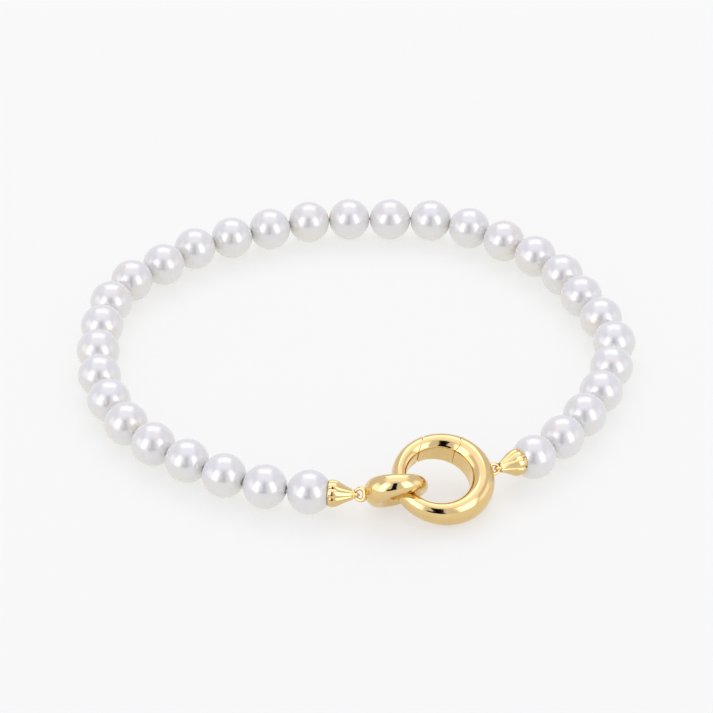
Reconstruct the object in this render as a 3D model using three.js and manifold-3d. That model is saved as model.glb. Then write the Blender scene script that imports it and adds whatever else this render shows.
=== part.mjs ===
// Pearl bracelet: 32 round pearls on a thread, two fluted end caps, a tapered link
// and a round clasp with a hinged gate. Millimetres, +Z up, lying on the plane z = 0.
import * as THREE from "three";
import { mergeVertices } from "three/addons/utils/BufferGeometryUtils.js";
import Module from "manifold-3d";

const wasm = await Module();
wasm.setup();

const degrees = THREE.MathUtils.degToRad;

// Pearls
const PEARL_COUNT = 32;
const PEARL_RADIUS = 2.5;
const PEARL_SPACING = 5.025;
const PEARL_SIDES = 12;
const PEARL_BANDS = 7;
const DRILL_RADIUS = 0.45;

// Thread
const THREAD_RADIUS = 0.18;
const THREAD_SIDES = 6;
const THREAD_STEPS_PER_PEARL = 3;
const THREAD_IN_CAP = 3.2;

// The string lies in a loose loop: the curve through these points carries the pearl centres
const LOOP_POINTS = [
  { x: -5.3, y: -29.2 },
  { x: -12.3, y: -27.5 },
  { x: -24.3, y: -19.1 },
  { x: -28.5, y: -12.0 },
  { x: -30.3, y: -3.2 },
  { x: -28.5, y: 10.2 },
  { x: -22.8, y: 16.3 },
  { x: -19.4, y: 19.4 },
  { x: -5.3, y: 25.2 },
  { x: 1.7, y: 25.6 },
  { x: 11.8, y: 24.7 },
  { x: 23.2, y: 15.8 },
  { x: 27.4, y: 7.6 },
  { x: 30.2, y: 0.1 },
  { x: 28.2, y: -10.2 },
  { x: 23.3, y: -19.0 },
  { x: 18.1, y: -24.6 },
];
const SAMPLES_PER_LOOP_POINT = 60;

// End caps, measured from the centre of the pearl that they sit on
const CAP_MOUTH = 2.16;
const CAP_EYE = 5.14;
const CAP_SEGMENTS = 32;
const CAP_LOBES = 8;
const CAP_GROOVE = 0.1;
const CAP_FLUTED_FROM = 0.2;
const CAP_FLUTED_OUTSIDE = 0.8;
const CAP_PROFILE = [
  { along: 0.36, radius: 0.42 },
  { along: 0.2, radius: 0.95 },
  { along: 0, radius: 1.38 },
  { along: 0, radius: 1.46 },
  { along: 0.2, radius: 1.5 },
  { along: 0.5, radius: 1.53 },
  { along: 0.95, radius: 1.42 },
  { along: 1.5, radius: 1.14 },
  { along: 2.1, radius: 0.84 },
  { along: 2.6, radius: 0.62 },
  { along: 2.98, radius: 0.5 },
];
const CAP_BORE_DEPTH = 1.5;
const EYE_RADIUS = 0.55;
const EYE_HEIGHT = 0.36;
const EYE_HOLE_RADIUS = 0.33;
const EYE_SIDES = 16;

// Soldered loops, which pass through the caps' eyes and face the front of the bracelet
const LOOP_WIRE_RADIUS = 0.2;
const LOOP_WIRE_SIDES = 6;
const LOOP_SIDES = 16;
const LOOP_LEAN = degrees(54.3);
const LEFT_LOOP = { length: 0.6, height: 0.66 };
const RIGHT_LOOP = { length: 0.62, height: 0.55 };
const LEFT_EYE = new THREE.Vector3(-0.28, -29.7, 2.5);
const RIGHT_EYE_TOWARD = new THREE.Vector3(16.0, -25.65, 3.2);

// Clasp ring: an oval section, flat on the inside, that swells towards its hallmark side
const CLASP_CENTRE = new THREE.Vector3(9.56, -27.61, 3.04);
const CLASP_TIP_BACK = 0.289;
const CLASP_TIP_SIDE = 0.109;
const CLASP_OUTER_RADIUS = 5.79;
const CLASP_SECTION = 1.187;
const CLASP_SWELL = 0.305;
const CLASP_SWELL_AT = 0.4;
const CLASP_HEIGHT_RATIO = 1.4;
const CLASP_FLAT = 0.8;
const CLASP_SEGMENTS = 40;
const CLASP_SECTION_SIDES = 13;

// Gate of the clasp: its free end is an arc about the hinge pin that runs into a straight lip,
// and its hinged end is a leaning cut that runs into a round barrel about the pin
const HINGE_RADIUS = 4.05;
const HINGE_ANGLE = degrees(78);
const GATE_BARREL = 0.85;
const GATE_CUT = 0.6;
const GATE_CUT_LEAN = 0.53;
const GATE_REACH = 3.3;
const GATE_GAP = 0.07;
const GATE_OPENING = degrees(28);
const GATE_CUT_HEIGHT = 8;
const GATE_ARC_DIVISIONS = 16;
const TAB_HALF_WIDTH = 0.33;
const TAB_THICKNESS = 0.8;
const TAB_ROUND = 0.42;
const TAB_LENGTH = 1.3;
const SLOT_CLEARANCE = 0.08;
const PIN_RADIUS = 0.18;
const PIN_LENGTH = 2.2;
const PIN_CLEARANCE = 0.05;
const PIN_SIDES = 12;

// Tapered link
const LINK_CENTRE = new THREE.Vector3(4.33, -29.5, 3.1);
const LINK_LONG_AXIS = new THREE.Vector3(0.989, 0.115, 0.098);
const LINK_TILT = 0.866;
const LINK_OUTER_RADIUS = 3.58;
const LINK_SECTION = 0.92;
const LINK_SWELL = 0.26;
const LINK_SWELL_AT = Math.PI;
const LINK_HEIGHT_RATIO = 1.3;
const LINK_FLAT = 1;
const LINK_SEGMENTS = 28;
const LINK_SECTION_SIDES = 10;

// Points of a mesh closer together than this are one point
const MERGE_DISTANCE = 1e-5;

const GOLD = { color: 0xe8c877, roughness: 0.12, metalness: 1 };
const NACRE = { color: 0xf4f1ef, roughness: 0.18, metalness: 0 };
const SILK = { color: 0xf2efe8, roughness: 0.8, metalness: 0 };

function named(name, geometry, finish) {
  const mesh = new THREE.Mesh(geometry, new THREE.MeshStandardMaterial(finish));
  mesh.name = name;
  return mesh;
}

// A closed geometry as a solid that can be joined and cut
function toSolid(geometry) {
  const plain = geometry.clone();
  plain.deleteAttribute("normal");
  plain.deleteAttribute("uv");
  const merged = mergeVertices(plain, MERGE_DISTANCE);
  const vertProperties = new Float32Array(merged.attributes.position.array);
  const triVerts = new Uint32Array(merged.index.array);
  return new wasm.Manifold(new wasm.Mesh({ numProp: 3, vertProperties, triVerts }));
}

function toGeometry(solid) {
  const mesh = solid.getMesh();
  const geometry = new THREE.BufferGeometry();
  const positions = new Float32Array(mesh.vertProperties);
  geometry.setAttribute("position", new THREE.BufferAttribute(positions, 3));
  geometry.setIndex(new THREE.BufferAttribute(new Uint32Array(mesh.triVerts), 1));
  return geometry;
}

// A round bar along Z, centred on a point of the X axis
function roundBar(radius, length, sides, x = 0) {
  const bar = new THREE.CylinderGeometry(radius, radius, length, sides);
  bar.rotateX(Math.PI / 2);
  bar.translate(x, 0, 0);
  return toSolid(bar);
}

// A flat plate of the given outline, centred on z = 0
function plate(shape, thickness, curveSegments = 12) {
  const settings = { depth: thickness, bevelEnabled: false, steps: 1, curveSegments };
  const body = new THREE.ExtrudeGeometry(shape, settings);
  body.translate(0, 0, -thickness / 2);
  return toSolid(body);
}

// Pearl centres, one spacing apart along the loop's curve
function pearlPlaces() {
  const points = LOOP_POINTS.map((point) => new THREE.Vector3(point.x, point.y, PEARL_RADIUS));
  const curve = new THREE.CatmullRomCurve3(points);
  const samples = curve.getPoints(points.length * SAMPLES_PER_LOOP_POINT);
  const centres = [samples[0]];
  for (const sample of samples) {
    const last = centres[centres.length - 1];
    if (centres.length < PEARL_COUNT && sample.distanceTo(last) >= PEARL_SPACING) {
      const step = sample.clone().sub(last).setLength(PEARL_SPACING);
      centres.push(last.clone().add(step));
    }
  }
  return centres;
}

// Each pearl's drill hole points from the pearl before it to the one after it
function pearlHeadings(centres, leftEye, rightEye) {
  const ends = [leftEye, ...centres, rightEye];
  return centres.map((_, i) => ends[i + 2].clone().sub(ends[i]).setZ(0).normalize());
}

// The middle of the gap between two drill holes that leave their centres in these directions
function gapPoint(centre, heading, nextCentre, nextHeading) {
  const leaving = centre.clone().addScaledVector(heading, PEARL_SPACING / 2);
  const entering = nextCentre.clone().addScaledVector(nextHeading, -PEARL_SPACING / 2);
  return leaving.add(entering).multiplyScalar(0.5);
}

// The thread's points: an end inside each cap, each pearl's middle and each gap between
function threadPoints(centres, headings, leftEye, rightEye) {
  const first = centres[0];
  const last = centres[centres.length - 1];
  const leftAxis = first.clone().sub(leftEye).normalize();
  const rightAxis = last.clone().sub(rightEye).normalize();
  const points = [first.clone().addScaledVector(leftAxis, -THREAD_IN_CAP)];
  points.push(gapPoint(first, headings[0].clone().negate(), first, leftAxis));
  centres.forEach((centre, i) => {
    points.push(centre);
    if (centre !== last) {
      points.push(gapPoint(centre, headings[i], centres[i + 1], headings[i + 1]));
    }
  });
  points.push(gapPoint(last, headings[centres.length - 1], last, rightAxis));
  points.push(last.clone().addScaledVector(rightAxis, -THREAD_IN_CAP));
  return points;
}

// A drilled bead about the X axis, with one flat side facing down to rest on
function pearlGeometry() {
  const drillAngle = Math.asin(DRILL_RADIUS / PEARL_RADIUS);
  const bandAngle = (Math.PI - 2 * drillAngle) / PEARL_BANDS;
  const flatToCorner = Math.cos(Math.PI / PEARL_SIDES) * Math.cos(bandAngle / 2);
  const profile = [];
  for (let band = 0; band <= PEARL_BANDS; band += 1) {
    const angle = drillAngle + band * bandAngle;
    const atDrill = band === 0 || band === PEARL_BANDS;
    const radius = atDrill ? DRILL_RADIUS : (PEARL_RADIUS * Math.sin(angle)) / flatToCorner;
    profile.push(new THREE.Vector2(radius, -PEARL_RADIUS * Math.cos(angle)));
  }
  profile.push(profile[0].clone());
  const bead = new THREE.LatheGeometry(profile, PEARL_SIDES, Math.PI / PEARL_SIDES);
  bead.rotateZ(-Math.PI / 2);
  return bead;
}

function makePearls(centres, headings) {
  const bead = pearlGeometry();
  return centres.map((centre, i) => {
    const pearl = named(`pearl_${String(i + 1).padStart(2, "0")}`, bead.clone(), NACRE);
    pearl.position.copy(centre);
    pearl.rotation.z = Math.atan2(headings[i].y, headings[i].x);
    return pearl;
  });
}

function makeThread(points) {
  const section = new THREE.Shape();
  section.absarc(0, 0, THREAD_RADIUS, 0, 2 * Math.PI);
  const settings = {
    extrudePath: new THREE.CatmullRomCurve3(points),
    steps: THREAD_STEPS_PER_PEARL * (PEARL_COUNT + 1),
    curveSegments: THREAD_SIDES / 2,
  };
  return named("thread", new THREE.ExtrudeGeometry(section, settings), SILK);
}

// The direction that the soldered loops and the caps' eyes stand along, square to an axis
function uprightTo(axis) {
  const lean = new THREE.Vector3(0, Math.cos(LOOP_LEAN), Math.sin(LOOP_LEAN));
  return lean.addScaledVector(axis, -lean.dot(axis)).normalize();
}

// Turns a solid's own X and Z onto the given directions and moves it to a place
function placing(xAxis, zAxis, origin) {
  const yAxis = new THREE.Vector3().crossVectors(zAxis, xAxis);
  return new THREE.Matrix4().makeBasis(xAxis, yAxis, zAxis).setPosition(origin);
}

// Pulls the outside of a cap in between its lobes
function fluteCap(geometry) {
  const position = geometry.attributes.position;
  for (let i = 0; i < position.count; i += 1) {
    const along = position.getY(i);
    const radius = Math.hypot(position.getX(i), position.getZ(i));
    if (along > CAP_FLUTED_FROM && radius > CAP_FLUTED_OUTSIDE) {
      const angle = Math.atan2(position.getZ(i), position.getX(i));
      const lobe = Math.abs(Math.cos((angle * CAP_LOBES) / 2));
      const scale = 1 - CAP_GROOVE * (1 - lobe);
      position.setX(i, position.getX(i) * scale);
      position.setZ(i, position.getZ(i) * scale);
    }
  }
}

// A fluted bell with a cupped mouth for the pearl and an eye at its tip, along its own X axis
function makeCap(name, pearlCentre, eye) {
  const profile = [
    new THREE.Vector2(0, CAP_BORE_DEPTH),
    new THREE.Vector2(CAP_PROFILE[0].radius, CAP_BORE_DEPTH),
    ...CAP_PROFILE.map((row) => new THREE.Vector2(row.radius, row.along)),
    new THREE.Vector2(0, CAP_PROFILE[CAP_PROFILE.length - 1].along),
  ];
  const bell = new THREE.LatheGeometry(profile, CAP_SEGMENTS);
  fluteCap(bell);
  bell.rotateZ(-Math.PI / 2);
  bell.translate(CAP_MOUTH, 0, 0);
  const ring = roundBar(EYE_RADIUS, EYE_HEIGHT, EYE_SIDES, CAP_EYE);
  const hole = roundBar(EYE_HOLE_RADIUS, 2 * EYE_RADIUS, EYE_SIDES, CAP_EYE);
  const cap = named(name, toGeometry(toSolid(bell).add(ring).subtract(hole)), GOLD);
  const axis = eye.clone().sub(pearlCentre).normalize();
  cap.applyMatrix4(placing(axis, uprightTo(axis), pearlCentre));
  return cap;
}

// A ring about Z of an oval section, flat inside, whose thickness swells towards one side
function taperedRing(size) {
  const flatAngle = Math.acos(-size.flat);
  const ring = [];
  for (let i = 0; i < size.sides; i += 1) {
    const angle = flatAngle - (2 * flatAngle * i) / (size.flat < 1 ? size.sides - 1 : size.sides);
    ring.push(new THREE.Vector2(size.radius + Math.cos(angle), -Math.sin(angle)));
  }
  ring.push(ring[0].clone());
  const body = new THREE.LatheGeometry(ring, size.segments);
  const position = body.attributes.position;
  for (let i = 0; i < position.count; i += 1) {
    const angle = Math.atan2(position.getX(i), position.getZ(i));
    const across = Math.hypot(position.getX(i), position.getZ(i)) - size.radius;
    const section = size.section + size.swell * Math.cos(angle - size.swellAt);
    const radius = size.radius + (across - 1) * section;
    const height = position.getY(i) * section * size.heightRatio;
    position.setXYZ(i, radius * Math.cos(angle), radius * Math.sin(angle), height);
  }
  return toSolid(body);
}

// An oval wire loop in its own X and Z directions, centred on the origin
function wireLoop(size) {
  const wire = [];
  for (let i = 0; i <= LOOP_WIRE_SIDES; i += 1) {
    const angle = (2 * Math.PI * i) / LOOP_WIRE_SIDES;
    const x = 1 + LOOP_WIRE_RADIUS * Math.cos(angle);
    wire.push(new THREE.Vector2(x, LOOP_WIRE_RADIUS * Math.sin(angle)));
  }
  const loop = new THREE.LatheGeometry(wire, LOOP_SIDES);
  const position = loop.attributes.position;
  for (let i = 0; i < position.count; i += 1) {
    const angle = Math.atan2(position.getX(i), position.getZ(i));
    const out = Math.hypot(position.getX(i), position.getZ(i)) - 1;
    const x = (size.length + out) * Math.cos(angle);
    const z = (size.height + out) * Math.sin(angle);
    position.setXYZ(i, x, -position.getY(i), z);
  }
  return loop;
}

// A soldered loop whose far end passes through an eye, reaching back along the inward direction
function loopThroughEye(size, eye, inward) {
  const outward = inward.clone().negate();
  const centre = eye.clone().addScaledVector(inward, size.length);
  const loop = wireLoop(size);
  loop.applyMatrix4(placing(outward, uprightTo(outward), centre));
  return toSolid(loop);
}

function claspPlacing() {
  const turn = new THREE.Matrix4().makeRotationY(CLASP_TIP_SIDE);
  turn.multiply(new THREE.Matrix4().makeRotationX(CLASP_TIP_BACK));
  return turn.setPosition(CLASP_CENTRE);
}

// Moves a solid from the hinge's own frame, with X towards the fixed ring and Y outwards
function atHinge(solid) {
  const turn = new THREE.Matrix4().makeRotationZ(HINGE_ANGLE - Math.PI / 2);
  const x = HINGE_RADIUS * Math.cos(HINGE_ANGLE);
  const y = HINGE_RADIUS * Math.sin(HINGE_ANGLE);
  return solid.transform(turn.setPosition(x, y, 0).elements);
}

// The part of the ring that the gate takes up, wider by a gap for the ring's own cut
function gateSpace(gap) {
  const barrel = GATE_BARREL + gap;
  const cut = GATE_CUT + gap;
  const reach = GATE_REACH + gap;
  const outline = new THREE.Shape();
  outline.moveTo(cut + GATE_CUT_LEAN * reach, reach);
  outline.absarc(0, 0, barrel, Math.acos(cut / barrel), -Math.PI / 2, true);
  outline.lineTo(-reach, -reach);
  outline.absarc(0, 0, reach, Math.PI, Math.PI / 2, true);
  outline.closePath();
  return atHinge(plate(outline, GATE_CUT_HEIGHT, GATE_ARC_DIVISIONS));
}

// The tab that carries the hinge pin, turned by an angle about the hinge
function hingeTab(grow, turn) {
  const halfWidth = TAB_HALF_WIDTH + grow;
  const strip = new THREE.Shape();
  strip.moveTo(0, -halfWidth);
  strip.lineTo(TAB_LENGTH, -halfWidth);
  strip.lineTo(TAB_LENGTH, halfWidth);
  strip.lineTo(0, halfWidth);
  strip.closePath();
  const thickness = TAB_THICKNESS + 2 * grow;
  const tab = plate(strip, thickness).add(roundBar(TAB_ROUND + grow, thickness, PIN_SIDES));
  return atHinge(tab.transform(new THREE.Matrix4().makeRotationZ(turn).elements));
}

function pinBar(radius, length) {
  return atHinge(roundBar(radius, length, PIN_SIDES));
}

// The clasp's ring, gate and hinge pin, modelled flat and then tipped into place
function makeClasp(eye) {
  const ring = taperedRing({
    radius: CLASP_OUTER_RADIUS,
    section: CLASP_SECTION,
    swell: CLASP_SWELL,
    swellAt: CLASP_SWELL_AT,
    heightRatio: CLASP_HEIGHT_RATIO,
    flat: CLASP_FLAT,
    sides: CLASP_SECTION_SIDES,
    segments: CLASP_SEGMENTS,
  });
  const place = claspPlacing();
  const back = place.clone().invert();
  const pinHole = pinBar(PIN_RADIUS + PIN_CLEARANCE, PIN_LENGTH + 2 * PIN_CLEARANCE);
  let gate = ring.intersect(gateSpace(0)).subtract(pinHole);
  for (const turn of [0, -GATE_OPENING / 2, -GATE_OPENING]) {
    gate = gate.subtract(hingeTab(SLOT_CLEARANCE, turn));
  }
  const inward = CLASP_CENTRE.clone().sub(eye).normalize();
  const loop = loopThroughEye(RIGHT_LOOP, eye, inward).transform(back.elements);
  const body = ring.subtract(gateSpace(GATE_GAP)).add(hingeTab(0, 0)).subtract(pinHole);
  const pieces = [
    named("clasp_ring", toGeometry(body.add(loop)), GOLD),
    named("gate", toGeometry(gate), GOLD),
    named("hinge_pin", toGeometry(pinBar(PIN_RADIUS, PIN_LENGTH)), GOLD),
  ];
  const clasp = new THREE.Group();
  clasp.add(...pieces);
  clasp.applyMatrix4(place);
  return clasp;
}

function makeLink(eye) {
  const ring = taperedRing({
    radius: LINK_OUTER_RADIUS,
    section: LINK_SECTION,
    swell: LINK_SWELL,
    swellAt: LINK_SWELL_AT,
    heightRatio: LINK_HEIGHT_RATIO,
    flat: LINK_FLAT,
    sides: LINK_SECTION_SIDES,
    segments: LINK_SEGMENTS,
  });
  const across = new THREE.Vector3(0, Math.cos(LINK_TILT), -Math.sin(LINK_TILT));
  const long = LINK_LONG_AXIS.clone();
  long.addScaledVector(across, -long.dot(across)).normalize();
  const place = placing(long, new THREE.Vector3().crossVectors(long, across), LINK_CENTRE);
  const end = LINK_CENTRE.clone().addScaledVector(long, -LINK_OUTER_RADIUS);
  const inward = end.sub(eye).normalize();
  const loop = loopThroughEye(LEFT_LOOP, eye, inward).transform(place.clone().invert().elements);
  const link = named("link", toGeometry(ring.add(loop)), GOLD);
  link.applyMatrix4(place);
  return link;
}

// Moves the whole bracelet so that the middle of its footprint is the origin
function standOnOrigin(group) {
  group.updateMatrixWorld(true);
  const box = new THREE.Box3().setFromObject(group, true);
  const middle = box.getCenter(new THREE.Vector3());
  group.position.set(-middle.x, -middle.y, -box.min.z);
  group.updateMatrixWorld(true);
}

function makeBracelet() {
  const centres = pearlPlaces();
  const lastCentre = centres[centres.length - 1];
  const rightAxis = RIGHT_EYE_TOWARD.clone().sub(lastCentre).normalize();
  const rightEye = lastCentre.clone().addScaledVector(rightAxis, CAP_EYE);
  const leftAxis = LEFT_EYE.clone().sub(centres[0]).normalize();
  const leftEye = centres[0].clone().addScaledVector(leftAxis, CAP_EYE);
  const headings = pearlHeadings(centres, leftEye, rightEye);
  const bracelet = new THREE.Group();
  bracelet.add(...makePearls(centres, headings));
  bracelet.add(makeThread(threadPoints(centres, headings, leftEye, rightEye)));
  bracelet.add(makeCap("cap_left", centres[0], leftEye));
  bracelet.add(makeCap("cap_right", lastCentre, rightEye));
  bracelet.add(makeLink(leftEye));
  bracelet.add(makeClasp(rightEye));
  standOnOrigin(bracelet);
  return bracelet;
}

export default makeBracelet();
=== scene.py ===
"""Pearl bracelet: white nacre pearls, polished gold caps, link and clasp, in studio light.

Lengths are in millimetres in the named values and turn to metres when a mesh is made.
"""

import math
import random

import bmesh
import bpy
from mathutils import Matrix, Vector


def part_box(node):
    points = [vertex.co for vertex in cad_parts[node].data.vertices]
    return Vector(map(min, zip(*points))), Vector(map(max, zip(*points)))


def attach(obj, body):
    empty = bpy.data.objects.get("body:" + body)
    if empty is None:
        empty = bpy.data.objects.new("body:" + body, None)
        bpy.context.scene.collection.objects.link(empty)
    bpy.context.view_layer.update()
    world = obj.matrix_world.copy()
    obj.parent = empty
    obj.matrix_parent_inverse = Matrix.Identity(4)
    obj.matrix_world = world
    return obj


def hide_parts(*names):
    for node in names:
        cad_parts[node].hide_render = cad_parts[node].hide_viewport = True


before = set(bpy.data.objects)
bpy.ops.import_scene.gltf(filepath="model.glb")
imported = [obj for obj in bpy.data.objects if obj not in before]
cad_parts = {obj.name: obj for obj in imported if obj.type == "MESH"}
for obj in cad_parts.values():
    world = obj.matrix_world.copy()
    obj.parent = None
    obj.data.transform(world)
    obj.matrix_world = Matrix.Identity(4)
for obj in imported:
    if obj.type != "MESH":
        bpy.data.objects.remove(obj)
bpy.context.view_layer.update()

MM = 0.001

# Camera: it looks down at the clasp side of the bracelet from far away
CAMERA_ELEVATION = math.radians(35.68)
CAMERA_DISTANCE = 416.55
CAMERA_LENS = 178.17
CAMERA_SENSOR = 36
CAMERA_TARGET = Vector((0.035, 2.536, -0.046))
CAMERA_RIGHT_SHIFT = -0.059
CAMERA_UP_SHIFT = 0.059

# Pearls
PEARL_COUNT = 32
PEARL_RADIUS = 2.5
PEARL_SPACING = 5.025
PEARL_STEPS = 56
PEARL_SIDES = 72
DRILL_RADIUS = 0.45
DRILL_ROUNDING = 0.06
# A pearl is this far off a true sphere at most, in a few waves over its surface
PEARL_UNEVENNESS = 0.012
PEARL_WAVES = 4
PEARL_WAVE_PITCH = 3
PEARL_SPIN = math.radians(137.5)
SEED = 7

# Thread: three plies laid round each other
THREAD_PLY_RADIUS = 0.085
THREAD_LAY_RADIUS = 0.092
THREAD_PLIES = 3
THREAD_PITCH = 1.3
THREAD_STEP = 0.11
THREAD_CURVE_STEPS = 24
THREAD_PLY_SIDES = 7
THREAD_IN_CAP = 3.2

# End caps, along their own axis from the centre of the pearl that they sit on
CAP_MOUTH = 2.16
CAP_EYE = 5.14
CAP_SEGMENTS = 144
CAP_LOBES = 8
CAP_GROOVE = 0.1
CAP_GROOVE_FROM = 0.12
CAP_GROOVE_SHARPNESS = 1.7
CAP_BORE_RADIUS = 0.42
# Rows of (along, radius), from the bottom of the hollow over the rim to the neck
CAP_PROFILE = [
    (1.5, 0.0),
    (1.5, CAP_BORE_RADIUS),
    (0.36, CAP_BORE_RADIUS),
    (0.2, 0.95),
    (0.02, 1.36),
    (0.0, 1.41),
    (0.03, 1.465),
    (0.2, 1.5),
    (0.5, 1.53),
    (0.95, 1.42),
    (1.5, 1.14),
    (2.1, 0.84),
    (2.6, 0.62),
    (2.86, 0.54),
    (2.96, 0.42),
    (2.98, 0.0),
]
CAP_PROFILE_STEPS = 6
EYE_RADIUS = 0.55
EYE_HEIGHT = 0.36
EYE_HOLE_RADIUS = 0.33
EYE_ROUNDING = 0.14
EYE_SEGMENTS = 72
EYE_PROFILE_STEPS = 4

# Soldered loops, which pass through the caps' eyes; solder thickens the wire at the loop's foot.
# A loop's size is its half length and half height
LOOP_WIRE_RADIUS = 0.2
LOOP_SOLDER = 0.16
LOOP_SOLDER_FALL = 3
LOOP_WIRE_SIDES = 20
LOOP_SIDES = 64
LOOP_LEAN = math.radians(54.3)
LEFT_LOOP = (0.6, 0.66)
RIGHT_LOOP = (0.62, 0.55)

# Places as first measured, with the first pearl as their anchor; FRAME_SHIFT moves them to the frame,
# whose origin is the middle of the footprint
FIRST_PEARL = Vector((-5.3, -29.2, 2.5))
LEFT_EYE = Vector((-0.28, -29.7, 2.5))
RIGHT_EYE = Vector((16.0, -25.65, 3.2))
CLASP_CENTRE = Vector((9.56, -27.61, 3.04))
LINK_CENTRE = Vector((4.33, -29.5, 3.1))

# Clasp ring and gate. The ring's section swells towards the angle swell_at, and flat is the share of
# its half width at which the inside is cut off. RING_CORNER is that edge's rounding as an angle, and
# ROUND_SHARE the share of a half section's steps that lie on the oval
CLASP_TIP_BACK = 0.289
CLASP_TIP_SIDE = 0.109
CLASP_RING = {
    "radius": 5.79,
    "section": 1.187,
    "swell": 0.305,
    "swell_at": 0.4,
    "height_ratio": 1.4,
    "flat": 0.8,
}
RING_CORNER = 0.07
RING_CORNER_STEPS = 4
ROUND_SHARE = 0.75
RING_STEPS = 360
GATE_STEPS = 96
SEAM_ROUNDING = 0.06
SEAM_SEGMENTS = 3
SEAM_EDGE_ANGLE = math.radians(50)
SEAM_TRIES = 60
HINGE_RADIUS = 4.05
HINGE_ANGLE = math.radians(78)
GATE_BARREL = 0.85
GATE_CUT = 0.6
GATE_CUT_LEAN = 0.53
GATE_REACH = 3.3
GATE_GAP = 0.07
FREE_SEAM_GAP = 0.13
SEAM_CORE_GAP = 0.015
SEAM_CORE_INSET = 0.16
SEAM_CORE_DEPTH = 0.07
SEAM_CORE_STEPS = 3
GATE_OPENING = math.radians(28)
TAB_HALF_WIDTH = 0.33
TAB_THICKNESS = 0.8
TAB_ROUND = 0.42
TAB_LENGTH = 1.3
TAB_ARC_STEPS = 24
BAR_SIDES = 32
SLOT_CLEARANCE = 0.08
PIN_RADIUS = 0.18
PIN_LENGTH = 2.2
PIN_CLEARANCE = 0.05

# Tapered link
LINK_LONG_AXIS = Vector((0.989, 0.115, 0.098))
LINK_TILT = 0.866
LINK_RING = {
    "radius": 3.58,
    "section": 0.92,
    "swell": 0.26,
    "swell_at": math.pi,
    "height_ratio": 1.3,
    "flat": 1.0,
}
LINK_STEPS = 224
SECTION_STEPS = 64

# Mesh finish: points closer than this are one, faces thinner than this go, in metres
JOIN_DISTANCE = 1e-8
THINNEST_FACE = 1e-9
SHARP_ANGLE = math.radians(40)

# Nacre: the share of the light that its layers mirror, how far light spreads inside it, how wide its
# overtones and dimples are, and the dimples' depth and how strongly they show
NACRE_MIRROR = 0.29
NACRE_DEPTH = 0.9
NACRE_ROUGHNESS = (0.18, 0.25)
OVERTONE_SIZE = 3
DIMPLE_SIZE = 0.7
DIMPLE_DEPTH = 0.04
DIMPLE_STRENGTH = 0.08

# Gold: the polishing wheel's waves and the hairline wear
GOLD_ROUGHNESS = (0.06, 0.13)
POLISH_WAVE_SIZE = 1.6
POLISH_WAVE_DEPTH = 0.06
POLISH_WAVE_STRENGTH = 0.05
HAIRLINE_SPACING = 0.05
HAIRLINE_DEPTH = 0.004
HAIRLINE_STRENGTH = 0.02

# Silk: 45 filaments to a millimetre
FILAMENT_SPACING = 1 / 45
FILAMENT_DEPTH = 0.01
FILAMENT_STRENGTH = 0.4

# The light table's matting
GRAIN_SIZE = 1
GRAIN_DEPTH = 0.05
GRAIN_STRENGTH = 0.02

# Studio, in metres: a white tent, a light table, a key light, and cards that only reflections show.
# A card's row is its azimuth, elevation, half width and half height in degrees, and for a soft one
# also its strength and tint
TENT_LIGHT = 0.9
TABLE_SIZE = 6
TABLE_GLOW = 0.53
KEY_DIRECTION = (180, 52)
KEY_DISTANCE = 1.1
KEY_SIZE = (1.0, 0.7)
KEY_POWER = 2.3
CARD_FADE = 0.3
SOFT_CARD_DISTANCE = 1.0
SOFT_CARDS = {
    "right_panel": (88, 4, 24, 30, 0.5, "#FFFFFF"),
    "left_panel": (-84, 6, 24, 30, 0.8, "#FFFFFF"),
    "top_panel": (180, 86, 44, 36, 0.5, "#F8F6FF"),
    "right_softbox": (48, 22, 21, 38, 1.9, "#FAF9FF"),
    "left_softbox": (-49, 22, 21, 38, 1.9, "#FAF9FF"),
}
BLACK_CARD_DISTANCE = 0.5
BLACK_CARDS = {
    "stand_column": (-3, 20, 8.5, 36),
    "stand_foot": (-8, 2, 16, 11),
}


def centre_of(node):
    """The middle of a CAD node, in millimetres."""
    low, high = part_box(node)
    return (Vector(low) + Vector(high)) / (2 * MM)


FRAME_SHIFT = centre_of("pearl_01") - FIRST_PEARL


# Materials


def colour(hex_value):
    """A linear colour from an sRGB hex value."""
    channels = [int(hex_value[i : i + 2], 16) / 255 for i in (1, 3, 5)]
    linear = [c / 12.92 if c <= 0.04045 else ((c + 0.055) / 1.055) ** 2.4 for c in channels]
    return (*linear, 1.0)


def add_node(material, kind, settings=None, links=None):
    """Adds a node with its settings and its links from other nodes' outputs."""
    node = material.node_tree.nodes.new(kind)
    for name, value in (settings or {}).items():
        if isinstance(name, int) or name in node.inputs:
            node.inputs[name].default_value = value
        else:
            setattr(node, name, value)
    for name, output in (links or {}).items():
        material.node_tree.links.new(output, node.inputs[name])
    return node


def new_material(name):
    material = bpy.data.materials.new(name)
    material.use_nodes = True
    material.node_tree.nodes.clear()
    return material


def per_metre(size):
    """The noise scale whose features are about this many millimetres across."""
    return 1 / (size * MM)


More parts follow.
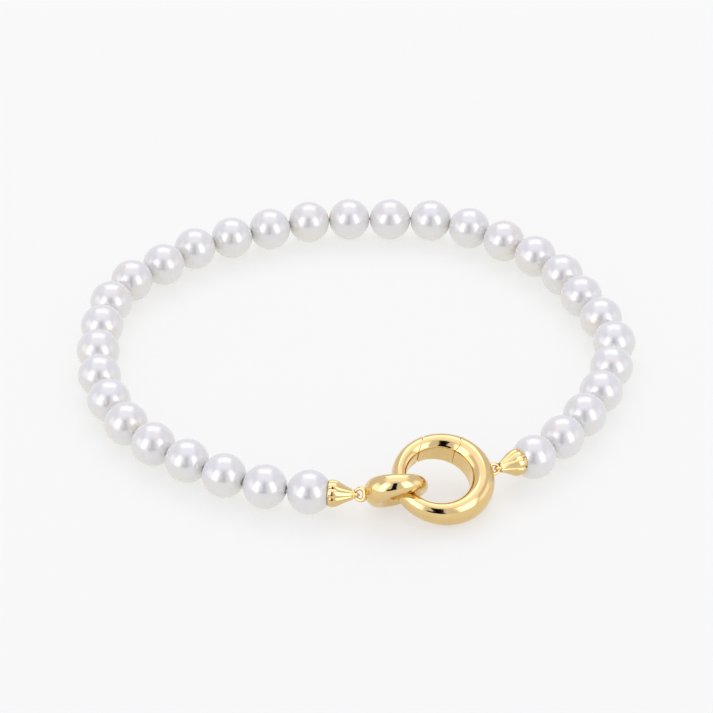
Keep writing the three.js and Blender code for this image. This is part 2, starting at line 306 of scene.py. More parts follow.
def nacre():
    """Saltwater pearl nacre, grown in thin layers and polished: a soft mirror over a milky body."""
    material = new_material("white_nacre")
    place = add_node(material, "ShaderNodeTexCoord").outputs["Object"]
    own = add_node(material, "ShaderNodeObjectInfo").outputs["Random"]
    # Overtones drift over a pearl by about three millimetres: cream, rose and a cool silver
    drift = add_node(
        material,
        "ShaderNodeTexNoise",
        {
            "noise_dimensions": "4D",
            "Scale": per_metre(OVERTONE_SIZE),
            "Detail": 2.0,
            "Roughness": 0.5,
        },
        {"Vector": place, "W": own},
    )
    tone = add_node(material, "ShaderNodeValToRGB", links={"Fac": drift.outputs["Fac"]})
    tone.color_ramp.elements[0].position = 0.3
    tone.color_ramp.elements[0].color = colour("#EAE9E4")
    tone.color_ramp.elements[1].position = 0.72
    tone.color_ramp.elements[1].color = colour("#EDE8DE")
    middle = tone.color_ramp.elements.new(0.5)
    middle.color = colour("#EBEAE6")
    # Growth leaves shallow unevenness, about 0.7 mm across, that makes the reflections waver
    dimples = add_node(
        material,
        "ShaderNodeTexNoise",
        {
            "noise_dimensions": "4D",
            "Scale": per_metre(DIMPLE_SIZE),
            "Detail": 3.0,
            "Roughness": 0.55,
        },
        {"Vector": place, "W": own},
    )
    bump = add_node(
        material,
        "ShaderNodeBump",
        {"Strength": DIMPLE_STRENGTH, "Distance": DIMPLE_DEPTH * MM},
        {"Height": dimples.outputs["Fac"]},
    )
    gloss = add_node(
        material,
        "ShaderNodeMapRange",
        {"To Min": NACRE_ROUGHNESS[0], "To Max": NACRE_ROUGHNESS[1]},
        {"Value": drift.outputs["Fac"]},
    )
    # The stacked layers mirror a share of the light at every angle, so part of it is metallic
    shader = add_node(
        material,
        "ShaderNodeBsdfPrincipled",
        {
            "Metallic": NACRE_MIRROR,
            "IOR": 1.53,
            "Specular IOR Level": 0.0,
            "Subsurface Weight": 0.6,
            "Subsurface Radius": (1.0, 0.85, 0.75),
            "Subsurface Scale": NACRE_DEPTH * MM,
        },
        {
            "Base Color": tone.outputs["Color"],
            "Roughness": gloss.outputs["Result"],
            "Normal": bump.outputs["Normal"],
        },
    )
    add_node(material, "ShaderNodeOutputMaterial", links={"Surface": shader.outputs["BSDF"]})
    return material


def polished_gold():
    """Cast silver plated with pale yellow gold and polished to a mirror: sharp, warm reflections."""
    material = new_material("polished_gold_plate")
    place = add_node(material, "ShaderNodeTexCoord").outputs["Object"]
    # The polishing wheel leaves the metal very slightly wavy over a millimetre and a half
    wave = add_node(
        material,
        "ShaderNodeTexNoise",
        {"Scale": per_metre(POLISH_WAVE_SIZE), "Detail": 1.0, "Roughness": 0.4},
        {"Vector": place},
    )
    # Hairline wear, drawn about 0.05 mm apart, which is coarser than the real lines
    hairlines = add_node(
        material,
        "ShaderNodeTexNoise",
        {"Scale": per_metre(HAIRLINE_SPACING), "Detail": 2.0, "Roughness": 0.6},
        {"Vector": place},
    )
    wavy = add_node(
        material,
        "ShaderNodeBump",
        {"Strength": POLISH_WAVE_STRENGTH, "Distance": POLISH_WAVE_DEPTH * MM},
        {"Height": wave.outputs["Fac"]},
    )
    scratched = add_node(
        material,
        "ShaderNodeBump",
        {"Strength": HAIRLINE_STRENGTH, "Distance": HAIRLINE_DEPTH * MM},
        {"Height": hairlines.outputs["Fac"], "Normal": wavy.outputs["Normal"]},
    )
    gloss = add_node(
        material,
        "ShaderNodeMapRange",
        {"To Min": GOLD_ROUGHNESS[0], "To Max": GOLD_ROUGHNESS[1]},
        {"Value": hairlines.outputs["Fac"]},
    )
    tone = add_node(material, "ShaderNodeValToRGB", links={"Fac": wave.outputs["Fac"]})
    tone.color_ramp.elements[0].position = 0.3
    tone.color_ramp.elements[0].color = colour("#E6C88A")
    tone.color_ramp.elements[1].position = 0.7
    tone.color_ramp.elements[1].color = colour("#EACD92")
    shader = add_node(
        material,
        "ShaderNodeBsdfPrincipled",
        {"Metallic": 1.0},
        {
            "Base Color": tone.outputs["Color"],
            "Roughness": gloss.outputs["Result"],
            "Normal": scratched.outputs["Normal"],
        },
    )
    add_node(material, "ShaderNodeOutputMaterial", links={"Surface": shader.outputs["BSDF"]})
    return material


def silk():
    """Twisted white silk: matt, with a soft sheen along the filaments."""
    material = new_material("white_silk_thread")
    place = add_node(material, "ShaderNodeTexCoord").outputs["Object"]
    # The filaments of the silk, about 0.02 mm apart
    filaments = add_node(
        material,
        "ShaderNodeTexNoise",
        {"Scale": per_metre(FILAMENT_SPACING), "Detail": 2.0},
        {"Vector": place},
    )
    bump = add_node(
        material,
        "ShaderNodeBump",
        {"Strength": FILAMENT_STRENGTH, "Distance": FILAMENT_DEPTH * MM},
        {"Height": filaments.outputs["Fac"]},
    )
    tone = add_node(material, "ShaderNodeValToRGB", links={"Fac": filaments.outputs["Fac"]})
    tone.color_ramp.elements[0].color = colour("#DDD8CE")
    tone.color_ramp.elements[1].color = colour("#F4F1EA")
    shader = add_node(
        material,
        "ShaderNodeBsdfPrincipled",
        {"Roughness": 0.6, "Sheen Weight": 0.4, "Sheen Roughness": 0.4},
        {"Base Color": tone.outputs["Color"], "Normal": bump.outputs["Normal"]},
    )
    add_node(material, "ShaderNodeOutputMaterial", links={"Surface": shader.outputs["BSDF"]})
    return material


def light_table():
    """Matt opal acrylic over a light panel: it glows, so the shadows on it stay pale."""
    material = new_material("opal_acrylic")
    place = add_node(material, "ShaderNodeTexCoord").outputs["Object"]
    # The matting is finer than this; it is drawn a millimetre across
    grain = add_node(
        material, "ShaderNodeTexNoise", {"Scale": per_metre(GRAIN_SIZE)}, {"Vector": place}
    )
    bump = add_node(
        material,
        "ShaderNodeBump",
        {"Strength": GRAIN_STRENGTH, "Distance": GRAIN_DEPTH * MM},
        {"Height": grain.outputs["Fac"]},
    )
    shader = add_node(
        material,
        "ShaderNodeBsdfPrincipled",
        {
            "Base Color": colour("#B3B3AC"),
            "Roughness": 0.9,
            "Specular IOR Level": 0.0,
            "Emission Color": colour("#FFFFFF"),
            "Emission Strength": TABLE_GLOW,
        },
        {"Normal": bump.outputs["Normal"]},
    )
    add_node(material, "ShaderNodeOutputMaterial", links={"Surface": shader.outputs["BSDF"]})
    return material


# Meshes


def new_piece(name, mesh, material, replaces=()):
    """An object of the bracelet that stands for CAD nodes."""
    piece = bpy.data.objects.new(name, mesh)
    bpy.context.collection.objects.link(piece)
    if not mesh.materials:
        mesh.materials.append(material)
    if replaces:
        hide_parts(*replaces)
    return piece


def mesh_from_grid(name, rows, closed_rows, closed_columns):
    """A smooth mesh through rows of points, in millimetres; either direction can close on itself."""
    columns = len(rows[0])
    vertices = [tuple(point * MM) for row in rows for point in row]
    faces = []
    for i in range(len(rows) if closed_rows else len(rows) - 1):
        upper = ((i + 1) % len(rows)) * columns
        for j in range(columns if closed_columns else columns - 1):
            beside = (j + 1) % columns
            faces.append((i * columns + j, i * columns + beside, upper + beside, upper + j))
    mesh = bpy.data.meshes.new(name)
    mesh.from_pydata(vertices, [], faces)
    return mesh


def finish_mesh(mesh):
    """Joins doubled points, turns the faces outwards and shades them smooth up to sharp edges."""
    work = bmesh.new()
    work.from_mesh(mesh)
    bmesh.ops.remove_doubles(work, verts=work.verts, dist=JOIN_DISTANCE)
    bmesh.ops.dissolve_degenerate(work, edges=work.edges, dist=THINNEST_FACE)
    bmesh.ops.recalc_face_normals(work, faces=work.faces)
    for face in work.faces:
        face.smooth = True
    work.to_mesh(mesh)
    work.free()
    mesh.set_sharp_from_angle(angle=SHARP_ANGLE)
    return mesh


def lathe(name, profile, segments, radius_scale=None):
    """Turns (along, radius) rows about the X axis; radius_scale gives a factor for each place."""
    rows = []
    for i in range(segments):
        angle = 2 * math.pi * i / segments
        row = []
        for along, radius in profile:
            scale = radius_scale(along, radius, angle) if radius_scale else 1
            y = radius * scale * math.cos(angle)
            z = radius * scale * math.sin(angle)
            row.append(Vector((along, y, z)))
        rows.append(row)
    return mesh_from_grid(name, rows, closed_rows=True, closed_columns=False)


def join_meshes(name, meshes):
    """One mesh of several, each turned and moved already."""
    work = bmesh.new()
    for mesh in meshes:
        work.from_mesh(mesh)
        bpy.data.meshes.remove(mesh)
    joined = bpy.data.meshes.new(name)
    work.to_mesh(joined)
    work.free()
    return joined


def smooth_profile(rows, steps):
    """The rows with points added between them on a curve that passes through every row."""
    points = [Vector(row) for row in rows]
    result = []
    for i in range(len(points) - 1):
        before = points[max(i - 1, 0)]
        start, end = points[i], points[i + 1]
        after = points[min(i + 2, len(points) - 1)]
        for step in range(steps):
            t = step / steps
            a = (end - before) / 2
            b = (after - start) / 2
            place = (
                start * (2 * t**3 - 3 * t**2 + 1)
                + a * (t**3 - 2 * t**2 + t)
                + end * (3 * t**2 - 2 * t**3)
                + b * (t**3 - t**2)
            )
            result.append(tuple(place))
    result.append(tuple(points[-1]))
    return result


def placing(x_axis, z_axis, origin):
    """The matrix that turns X and Z onto the given directions and moves the origin to a place."""
    y_axis = z_axis.cross(x_axis)
    turn = Matrix((x_axis, y_axis, z_axis)).transposed().to_4x4()
    return Matrix.Translation(origin * MM) @ turn


def upright_to(axis):
    """The direction that the loops and the caps' eyes stand along, square to an axis."""
    lean = Vector((0, math.cos(LOOP_LEAN), math.sin(LOOP_LEAN)))
    return (lean - axis * lean.dot(axis)).normalized()


# Pearls and thread


def pearl_mesh(name, rng):
    """A drilled pearl about the X axis, about a hundredth of a millimetre off a true sphere."""
    drill_angle = math.asin(DRILL_RADIUS / PEARL_RADIUS)
    profile = []
    for step in range(PEARL_STEPS + 1):
        angle = drill_angle + (math.pi - 2 * drill_angle) * step / PEARL_STEPS
        profile.append((-PEARL_RADIUS * math.cos(angle), PEARL_RADIUS * math.sin(angle)))
    rim = PEARL_RADIUS * math.cos(drill_angle)
    inner = DRILL_RADIUS - DRILL_ROUNDING
    profile = [(-rim + DRILL_ROUNDING, inner)] + profile + [(rim - DRILL_ROUNDING, inner)]
    profile.append(profile[0])
    mesh = lathe(name, profile, PEARL_SIDES)
    waves = [Vector([rng.uniform(-1, 1) for _ in range(3)]) for _ in range(PEARL_WAVES)]
    phases = [rng.uniform(0, 2 * math.pi) for _ in waves]
    for vertex in mesh.vertices:
        direction = vertex.co.normalized()
        bulge = 0
        for wave, phase in zip(waves, phases):
            bulge += math.sin(PEARL_WAVE_PITCH * wave.dot(direction) + phase)
        shrink = PEARL_UNEVENNESS * (1 + bulge / PEARL_WAVES) / (2 * PEARL_RADIUS)
        vertex.co *= 1 - shrink
    return finish_mesh(mesh)


def make_pearls(centres, headings, material):
    rng = random.Random(SEED)
    for i, (centre, heading) in enumerate(zip(centres, headings)):
        name = f"pearl_{i + 1:02d}"
        mesh = pearl_mesh(name, rng)
        turn = Matrix.Rotation(math.atan2(heading.y, heading.x), 4, "Z")
        mesh.transform(turn @ Matrix.Rotation(i * PEARL_SPIN, 4, "X"))
        piece = new_piece(f"{name}_nacre", mesh, material, [name])
        piece.location = centre * MM
        bpy.context.view_layer.update()
        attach(piece, "bracelet")


def heading_of(ends, i):
    """The way that the string runs through pearl i, level with the table.

    ends is the pearls' centres with the two caps' eyes before and after them.
    """
    direction = ends[i + 2] - ends[i]
    direction.z = 0
    return direction.normalized()


def gap_point(centre, heading, next_centre, next_heading):
    """The middle of the gap between two drill holes."""
    leaving = centre + heading * PEARL_SPACING / 2
    entering = next_centre - next_heading * PEARL_SPACING / 2
    return (leaving + entering) / 2


def thread_path(centres, headings, left_axis, right_axis):
    """The points that the thread passes, from inside one cap to inside the other."""
    points = [centres[0] + left_axis * THREAD_IN_CAP]
    points.append(gap_point(centres[0], -headings[0], centres[0], -left_axis))
    for i, centre in enumerate(centres):
        points.append(centre)
        if i < len(centres) - 1:
            points.append(gap_point(centre, headings[i], centres[i + 1], headings[i + 1]))
    points.append(gap_point(centres[-1], headings[-1], centres[-1], -right_axis))
    points.append(centres[-1] + right_axis * THREAD_IN_CAP)
    return points


def make_thread(points, material):
    """Three plies wound round the thread's path."""
    fine = [Vector(row) for row in smooth_profile([tuple(p) for p in points], THREAD_CURVE_STEPS)]
    path = [fine[0]]
    travelled = [0.0]
    for point in fine[1:]:
        step = (point - path[-1]).length
        if step >= THREAD_STEP:
            path.append(point)
            travelled.append(travelled[-1] + step)
    plies = []
    for ply in range(THREAD_PLIES):
        rows = []
        for i in range(1, len(path) - 1):
            ahead = (path[i + 1] - path[i - 1]).normalized()
            side = ahead.cross(Vector((0, 0, 1))).normalized()
            up = side.cross(ahead)
            lay = 2 * math.pi * (travelled[i] / THREAD_PITCH + ply / THREAD_PLIES)
            middle = path[i] + (side * math.cos(lay) + up * math.sin(lay)) * THREAD_LAY_RADIUS
            row = []
            for j in range(THREAD_PLY_SIDES):
                angle = 2 * math.pi * j / THREAD_PLY_SIDES
                spoke = side * math.cos(angle) + up * math.sin(angle)
                row.append(middle + spoke * THREAD_PLY_RADIUS)
            rows.append(row)
        plies.append(mesh_from_grid("ply", rows, closed_rows=False, closed_columns=True))
    mesh = finish_mesh(join_meshes("thread", plies))
    piece = new_piece("thread_silk", mesh, material, ["thread"])
    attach(piece, "bracelet")


# Caps and soldered loops


def flute(along, radius, angle):
    """Pulls a cap in between its lobes by the same share all along, but not next to the mouth's rim and
    not in the bore.
    """
    if along < CAP_GROOVE_FROM or radius <= CAP_BORE_RADIUS:
        return 1
    lobe = abs(math.cos(angle * CAP_LOBES / 2))
    return 1 - CAP_GROOVE * (1 - lobe) ** CAP_GROOVE_SHARPNESS


def eye_mesh():
    """A short round-edged tube about the Z axis at the tip of a cap."""
    half = EYE_HEIGHT / 2
    soft = EYE_ROUNDING
    profile = [
        (-half, EYE_HOLE_RADIUS + soft / 2),
        (-half, EYE_RADIUS - soft),
        (-half + soft, EYE_RADIUS),
        (half - soft, EYE_RADIUS),
        (half, EYE_RADIUS - soft),
        (half, EYE_HOLE_RADIUS + soft / 2),
        (half - soft / 2, EYE_HOLE_RADIUS),
        (-half + soft / 2, EYE_HOLE_RADIUS),
        (-half, EYE_HOLE_RADIUS + soft / 2),
    ]
    mesh = lathe("eye", smooth_profile(profile, EYE_PROFILE_STEPS), EYE_SEGMENTS)
    stand = Matrix.Rotation(math.radians(-90), 4, "Y")
    mesh.transform(Matrix.Translation((CAP_EYE * MM, 0, 0)) @ stand)
    return mesh


def make_cap(name, pearl_centre, axis, material):
    fine = smooth_profile(CAP_PROFILE, CAP_PROFILE_STEPS)
    bell = lathe("bell", [(along, max(radius, 0)) for along, radius in fine], CAP_SEGMENTS, flute)
    bell = finish_mesh(bell)
    bell.transform(Matrix.Translation((CAP_MOUTH * MM, 0, 0)))
    bell = cut_away(bell, round_bar(EYE_HOLE_RADIUS, 2 * EYE_RADIUS, CAP_EYE))
    mesh = join_meshes(name, [bell, eye_mesh()])
    mesh.transform(placing(axis, upright_to(axis), pearl_centre))
    finish_mesh(mesh)
    piece = new_piece(f"{name}_gold", mesh, material, [name])
    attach(piece, "bracelet")


def wire_loop(size, eye, inward):
    """A soldered oval loop whose far end passes through an eye."""
    length, height = size
    rows = []
    for i in range(LOOP_SIDES):
        around = 2 * math.pi * i / LOOP_SIDES
        solder = ((1 - math.cos(around)) / 2) ** LOOP_SOLDER_FALL
        thickness = LOOP_WIRE_RADIUS + LOOP_SOLDER * solder
        row = []
        for j in range(LOOP_WIRE_SIDES):
            angle = 2 * math.pi * j / LOOP_WIRE_SIDES
            out = thickness * math.cos(angle)
            aside = thickness * math.sin(angle)
            x = (length + out) * math.cos(around)
            z = (height + out) * math.sin(around)
            row.append(Vector((x, aside, z)))
        rows.append(row)
    mesh = mesh_from_grid("loop", rows, closed_rows=True, closed_columns=True)
    outward = -inward
    mesh.transform(placing(outward, upright_to(outward), eye + inward * length))
    return mesh


# Clasp and link


def ring_section(flat):
    """Half of a ring's section, from the middle of the outside to the middle of the inside.

    Each row is (out, up) with the oval's half width and half height both 1. A flat below 1 cuts the
    oval off on the inside, with a small rounded corner.
    """
    if flat >= 1:
        angles = [math.pi * (i + 0.5) / SECTION_STEPS for i in range(SECTION_STEPS)]
        return [(math.cos(angle), math.sin(angle)) for angle in angles]
    last = math.acos(-flat)
    start = last - RING_CORNER
    round_steps = int(SECTION_STEPS * ROUND_SHARE)
    angles = [start * (i + 0.5) / round_steps for i in range(round_steps)]
    rows = [(math.cos(angle), math.sin(angle)) for angle in angles]
    corner = Vector((-flat, math.sin(last)))
    before = Vector((math.cos(start), math.sin(start)))
    after = Vector((-flat, math.sin(last) - RING_CORNER))
    for i in range(RING_CORNER_STEPS + 1):
        t = i / RING_CORNER_STEPS
        rows.append(tuple(before * (1 - t) ** 2 + corner * 2 * t * (1 - t) + after * t**2))
    rest = SECTION_STEPS - len(rows)
    for i in range(rest):
        rows.append((-flat, after.y * (1 - (i + 0.5) / (rest + 0.5))))
    return rows


def ring_size(ring, angle):
    return ring["section"] + ring["swell"] * math.cos(angle - ring["swell_at"])


def ring_point(ring, angle, out, up):
    size = ring_size(ring, angle)
    radius = ring["radius"] + (out - 1) * size
    height = up * size * ring["height_ratio"]
    return Vector((radius * math.cos(angle), radius * math.sin(angle), height))


def whole_ring(ring, steps):
    half = ring_section(ring["flat"])
    section = half + [(out, -up) for out, up in reversed(half)]
    rows = []
    for i in range(steps):
        angle = 2 * math.pi * i / steps
        rows.append([ring_point(ring, angle, out, up) for out, up in section])
    return mesh_from_grid("ring", rows, closed_rows=True, closed_columns=True)


def part_of_ring(ring, steps, first_seam, last_seam):
    """The ring between two seams, each a function from a place's out value to its angle."""
    half = ring_section(ring["flat"])
    section = half + [(out, -up) for out, up in reversed(half)]
    limits = [(first_seam(out), last_seam(out)) for out, _ in section]
    rows = []
    for i in range(steps + 1):
        t = i / steps
        row = []
        for (out, up), (first, last) in zip(section, limits):
            row.append(ring_point(ring, first + (last - first) * t, out, up))
        rows.append(row)
    mesh = mesh_from_grid("ring_part", rows, closed_rows=False, closed_columns=True)
    work = bmesh.new()
    work.from_mesh(mesh)
    work.verts.ensure_lookup_table()
    columns = len(section)
    for start in (0, steps * columns):
        for j in range(columns // 2 - 1):
            corners = (j, j + 1, columns - 2 - j, columns - 1 - j)
            work.faces.new([work.verts[start + corner] for corner in corners])
    work.to_mesh(mesh)
    work.free()
    return mesh


def hinge_reach(height, grow):
    """How far the gate's hinged end goes past the pin, at a height above the pin."""
    barrel = GATE_BARREL + grow
    cut = GATE_CUT + grow
    reach = GATE_REACH + grow
    corner = math.sqrt(barrel**2 - cut**2)
    if height > corner:
        return cut + GATE_CUT_LEAN * reach * (height - corner) / (reach - corner)
    return math.sqrt(max(barrel**2 - height**2, 0))


def free_reach(height, grow):
    """How far the gate's free end goes before the pin: an arc that runs into a straight lip."""
    reach = GATE_REACH + grow
    return -math.sqrt(max(reach**2 - max(height, 0) ** 2, 0))


def seam(ring, reach_at, grow):
    """The seam's angle about the clasp's centre, as a function of a place's out value.

    It is found by going half way to the next guess, many times.
    """

    def angle_at(out):
        angle = HINGE_ANGLE
        for _ in range(SEAM_TRIES):
            radius = ring["radius"] + (out - 1) * ring_size(ring, angle)
            height = radius * math.cos(angle - HINGE_ANGLE) - HINGE_RADIUS
            aside = max(-1, min(1, reach_at(height, grow) / radius))
            angle = (angle + HINGE_ANGLE - math.asin(aside)) / 2
        return angle

    return angle_at


def seam_core(reach_at, turn):
    """A core that closes a seam to the light and leaves only a groove round it.

    It grows from the fixed ring's end; turn is the way from the seam into the ring.
    """
    core = dict(CLASP_RING)
    core["radius"] -= SEAM_CORE_INSET
    core["section"] -= SEAM_CORE_INSET
    face = seam(core, reach_at, SEAM_CORE_GAP)
    return part_of_ring(core, SEAM_CORE_STEPS, face, lambda out: face(out) + turn)


def at_hinge():
    place = Vector((math.cos(HINGE_ANGLE), math.sin(HINGE_ANGLE), 0)) * HINGE_RADIUS * MM
    return Matrix.Translation(place) @ Matrix.Rotation(HINGE_ANGLE - math.pi / 2, 4, "Z")


def plate_mesh(outline, thickness):
    """A flat plate of an outline, centred on z = 0."""
    half = thickness / 2
    rows = [[Vector((x, y, z)) for x, y in outline] for z in (-half, half)]
    mesh = mesh_from_grid("plate", rows, closed_rows=False, closed_columns=True)
    work = bmesh.new()
    work.from_mesh(mesh)
    work.verts.ensure_lookup_table()
    count = len(outline)
    work.faces.new([work.verts[i] for i in range(count)])
    work.faces.new([work.verts[count + i] for i in range(count)])
    bmesh.ops.recalc_face_normals(work, faces=work.faces)
    work.to_mesh(mesh)
    work.free()
    return mesh


def hinge_tab(grow, turn):
    """The tab that carries the hinge pin, turned by an angle about the hinge."""
    half_width = TAB_HALF_WIDTH + grow
    radius = TAB_ROUND + grow
    from_angle = math.asin(half_width / radius)
    outline = [(TAB_LENGTH, -half_width), (TAB_LENGTH, half_width)]
    for i in range(TAB_ARC_STEPS + 1):
        angle = from_angle + (2 * math.pi - 2 * from_angle) * i / TAB_ARC_STEPS
        outline.append((radius * math.cos(angle), radius * math.sin(angle)))
    mesh = plate_mesh(outline, TAB_THICKNESS + 2 * grow)
    mesh.transform(at_hinge() @ Matrix.Rotation(turn, 4, "Z"))
    return mesh


def round_bar(radius, length, x=0):
    """A round bar along Z, centred on a point of the X axis."""
    steps = [2 * math.pi * i / BAR_SIDES for i in range(BAR_SIDES)]
    return plate_mesh([(x + radius * math.cos(a), radius * math.sin(a)) for a in steps], length)


def pin_bar(radius, length):
    mesh = round_bar(radius, length)
    mesh.transform(at_hinge())
    return mesh


def applied(mesh, add_modifiers):
    """The mesh with the modifiers that add_modifiers gives it, applied."""
    holder = bpy.data.objects.new("holder", mesh)
    bpy.context.collection.objects.link(holder)
    add_modifiers(holder)
    graph = bpy.context.evaluated_depsgraph_get()
    result = bpy.data.meshes.new_from_object(holder.evaluated_get(graph))
    bpy.data.objects.remove(holder)
    return result


def cut_away(mesh, cutter_mesh):
    cutter = bpy.data.objects.new("cutter", cutter_mesh)
    bpy.context.collection.objects.link(cutter)

    def add(holder):
        cut = holder.modifiers.new("cut", "BOOLEAN")
        cut.operation = "DIFFERENCE"
        cut.solver = "EXACT"
        cut.object = cutter

    result = applied(mesh, add)
    bpy.data.objects.remove(cutter)
    return result


def round_seams(mesh):
    """Rounds the edges round the seams, as polishing does."""

    def add(holder):
        bevel = holder.modifiers.new("polish", "BEVEL")
        bevel.width = SEAM_ROUNDING * MM
        bevel.segments = SEAM_SEGMENTS
        bevel.limit_method = "ANGLE"
        bevel.angle_limit = SEAM_EDGE_ANGLE

    return applied(mesh, add)


def clasp_placing(centre):
    turn = Matrix.Rotation(CLASP_TIP_SIDE, 4, "Y") @ Matrix.Rotation(CLASP_TIP_BACK, 4, "X")
    return Matrix.Translation(centre * MM) @ turn


def make_clasp(centre, eye, material):
    place = clasp_placing(centre)
    turn_round = 2 * math.pi
    hinge_side = seam(CLASP_RING, hinge_reach, GATE_GAP)
    free_side = seam(CLASP_RING, free_reach, FREE_SEAM_GAP)
    body = part_of_ring(CLASP_RING, RING_STEPS, free_side, lambda out: hinge_side(out) + turn_round)
    body = round_seams(finish_mesh(body))
    hinge_core = seam_core(hinge_reach, -SEAM_CORE_DEPTH)
    free_core = seam_core(free_reach, SEAM_CORE_DEPTH)
    ring = join_meshes("clasp", [body, hinge_core, free_core, hinge_tab(0, 0)])
    ring.transform(place)
    inward = (centre - eye).normalized()
    ring = finish_mesh(join_meshes("clasp_ring", [ring, wire_loop(RIGHT_LOOP, eye, inward)]))
    hinge_end = seam(CLASP_RING, hinge_reach, 0)
    free_end = seam(CLASP_RING, free_reach, 0)
    gate = part_of_ring(CLASP_RING, GATE_STEPS, hinge_end, free_end)
    gate = round_seams(finish_mesh(gate))
    for turn in (0, -GATE_OPENING / 2, -GATE_OPENING):
        gate = cut_away(gate, hinge_tab(SLOT_CLEARANCE, turn))
    gate = cut_away(gate, pin_bar(PIN_RADIUS + PIN_CLEARANCE, PIN_LENGTH + 2 * PIN_CLEARANCE))
    gate.transform(place)
    finish_mesh(gate)
    fixed = new_piece("clasp_ring_gold", ring, material, ["clasp_ring"])
    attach(fixed, "bracelet")
    moving = new_piece("gate_gold", gate, material, ["gate"])
    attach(moving, "gate")


def make_link(centre, eye, material):
    across = Vector((0, math.cos(LINK_TILT), -math.sin(LINK_TILT)))
    long = (LINK_LONG_AXIS - across * LINK_LONG_AXIS.dot(across)).normalized()
    ring = whole_ring(LINK_RING, LINK_STEPS)
    ring.transform(placing(long, long.cross(across), centre))
    end = centre - long * LINK_RING["radius"]
    loop = wire_loop(LEFT_LOOP, eye, (end - eye).normalized())
    mesh = finish_mesh(join_meshes("link", [ring, loop]))
    piece = new_piece("link_gold", mesh, material, ["link"])
    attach(piece, "bracelet")


# Camera, floor and light


def make_camera():
    camera = bpy.data.objects.new("camera", bpy.data.cameras.new("camera"))
    bpy.context.collection.objects.link(camera)
    camera.data.lens = CAMERA_LENS
    camera.data.sensor_width = CAMERA_SENSOR
    camera.data.sensor_height = CAMERA_SENSOR
    back = Vector((0, -math.cos(CAMERA_ELEVATION), math.sin(CAMERA_ELEVATION)))
    up = Vector((0, math.sin(CAMERA_ELEVATION), math.cos(CAMERA_ELEVATION)))
    place = CAMERA_TARGET + back * CAMERA_DISTANCE
    place += Vector((1, 0, 0)) * CAMERA_RIGHT_SHIFT + up * CAMERA_UP_SHIFT
    camera.location = place * MM
    camera.rotation_euler = (math.pi / 2 - CAMERA_ELEVATION, 0, 0)
    bpy.context.scene.camera = camera


def stage_plane(name, width, height, material):
    """A flat rectangle of the studio, in metres, that isn't part of the bracelet."""
    mesh = bpy.data.meshes.new(name)
    corners = [(-width / 2, -height / 2, 0), (width / 2, -height / 2, 0)]
    corners += [(width / 2, height / 2, 0), (-width / 2, height / 2, 0)]
    mesh.from_pydata(corners, [], [(0, 1, 2, 3)])
    mesh.materials.append(material)
    plane = bpy.data.objects.new(name, mesh)
    bpy.context.collection.objects.link(plane)
    return plane


def black_velvet():
    """Matt black cloth on the stand in front of the bracelet, mirrored by the gold as dark bands."""
    material = new_material("black_velvet")
    shader = add_node(
        material,
        "ShaderNodeBsdfPrincipled",
        {"Base Color": colour("#060504"), "Roughness": 1.0, "Specular IOR Level": 0.0},
    )
    add_node(material, "ShaderNodeOutputMaterial", links={"Surface": shader.outputs["BSDF"]})
    return material


def softbox_front(name, strength, tint):
    """A lit diffuser that fades out towards its edges."""
    material = new_material(name)
    place = add_node(material, "ShaderNodeTexCoord").outputs["Generated"]
    sides = add_node(material, "ShaderNodeSeparateXYZ", links={"Vector": place})
    level = None
    for side in ("X", "Y"):
        offset = add_node(
            material, "ShaderNodeMath", {"operation": "SUBTRACT", 1: 0.5}, {0: sides.outputs[side]}
        )
        distance = add_node(
            material, "ShaderNodeMath", {"operation": "ABSOLUTE"}, {0: offset.outputs["Value"]}
        )
        fade = add_node(
            material,
            "ShaderNodeMapRange",
            {"interpolation_type": "SMOOTHSTEP", "From Min": 0.5, "From Max": 0.5 - CARD_FADE},
            {"Value": distance.outputs["Value"]},
        ).outputs["Result"]
        if level is None:
            level = fade
        else:
            links = {0: level, 1: fade}
            both = add_node(material, "ShaderNodeMath", {"operation": "MULTIPLY"}, links)
            level = both.outputs["Value"]
    power = add_node(material, "ShaderNodeMath", {"operation": "MULTIPLY", 1: strength}, {0: level})
    light = add_node(
        material,
        "ShaderNodeEmission",
        {"Color": colour(tint)},
        {"Strength": power.outputs["Value"]},
    )
    clear = add_node(material, "ShaderNodeBsdfTransparent")
    both = add_node(
        material,
        "ShaderNodeAddShader",
        links={0: light.outputs["Emission"], 1: clear.outputs["BSDF"]},
    )
    add_node(material, "ShaderNodeOutputMaterial", links={"Surface": both.outputs["Shader"]})
    return material


def studio_direction(azimuth, elevation):
    """The direction to a place in the studio: azimuth 0 is the camera's side and grows to the right."""
    turn, rise = math.radians(azimuth), math.radians(elevation)
    return Vector((math.sin(turn) * math.cos(rise), -math.cos(turn) * math.cos(rise), math.sin(rise)))


def reflected_card(name, place, distance, material):
    """A card round the bracelet that only its reflections show."""
    azimuth, elevation, half_width, half_height = place
    width = 2 * distance * math.tan(math.radians(half_width))
    height = 2 * distance * math.tan(math.radians(half_height))
    card = stage_plane(name, width, height, material)
    direction = studio_direction(azimuth, elevation)
    card.location = direction * distance
    card.rotation_euler = (-direction).to_track_quat("Z", "Y").to_euler()
    card.visible_camera = False
    card.visible_diffuse = False
    card.visible_transmission = False
    card.visible_shadow = False


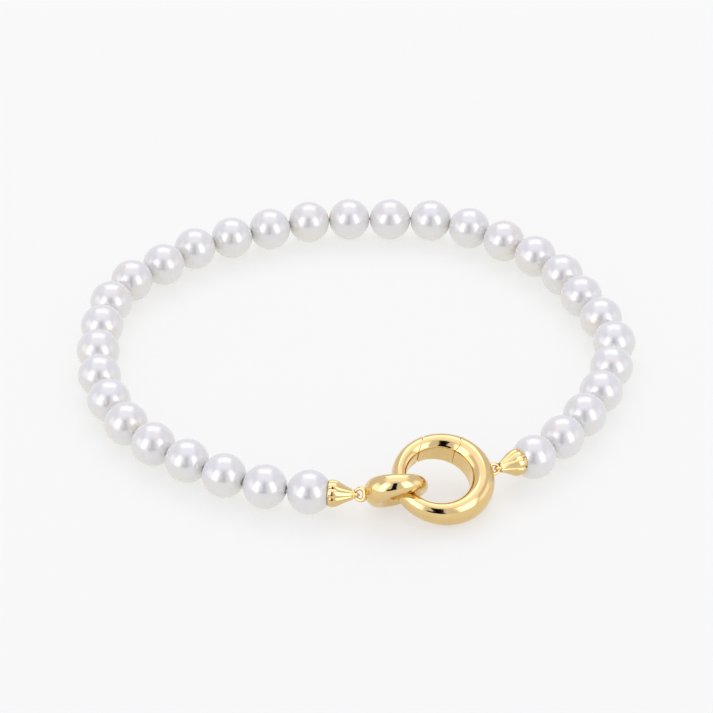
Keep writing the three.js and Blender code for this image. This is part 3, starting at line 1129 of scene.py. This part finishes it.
def make_key_light():
    """The large softbox behind and above the bracelet."""
    data = bpy.data.lights.new("key_softbox", "AREA")
    data.shape = "RECTANGLE"
    data.size, data.size_y = KEY_SIZE
    data.energy = KEY_POWER
    light = bpy.data.objects.new("key_softbox", data)
    bpy.context.collection.objects.link(light)
    direction = studio_direction(*KEY_DIRECTION)
    light.location = direction * KEY_DISTANCE
    light.rotation_euler = direction.to_track_quat("Z", "Y").to_euler()


def make_studio():
    bpy.context.scene.view_settings.view_transform = "Standard"
    world = bpy.data.worlds.new("studio")
    world.use_nodes = True
    background = world.node_tree.nodes["Background"]
    background.inputs["Color"].default_value = colour("#F1F1FF")
    background.inputs["Strength"].default_value = TENT_LIGHT
    bpy.context.scene.world = world
    stage_plane("floor", TABLE_SIZE, TABLE_SIZE, light_table())
    make_key_light()
    for name, (*place, strength, tint) in SOFT_CARDS.items():
        reflected_card(name, place, SOFT_CARD_DISTANCE, softbox_front(name, strength, tint))
    velvet = black_velvet()
    for name, place in BLACK_CARDS.items():
        reflected_card(name, place, BLACK_CARD_DISTANCE, velvet)


def make_bracelet():
    pearl_material = nacre()
    gold = polished_gold()
    centres = [centre_of(f"pearl_{i + 1:02d}") for i in range(PEARL_COUNT)]
    left_axis = (LEFT_EYE + FRAME_SHIFT - centres[0]).normalized()
    right_axis = (RIGHT_EYE + FRAME_SHIFT - centres[-1]).normalized()
    left_eye = centres[0] + left_axis * CAP_EYE
    right_eye = centres[-1] + right_axis * CAP_EYE
    ends = [left_eye, *centres, right_eye]
    headings = [heading_of(ends, i) for i in range(PEARL_COUNT)]
    make_pearls(centres, headings, pearl_material)
    make_thread(thread_path(centres, headings, left_axis, right_axis), silk())
    make_cap("cap_left", centres[0], left_axis, gold)
    make_cap("cap_right", centres[-1], right_axis, gold)
    make_link(LINK_CENTRE + FRAME_SHIFT, left_eye, gold)
    make_clasp(CLASP_CENTRE + FRAME_SHIFT, right_eye, gold)
    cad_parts["hinge_pin"].material_slots[0].material = gold


make_camera()
make_bracelet()
make_studio()
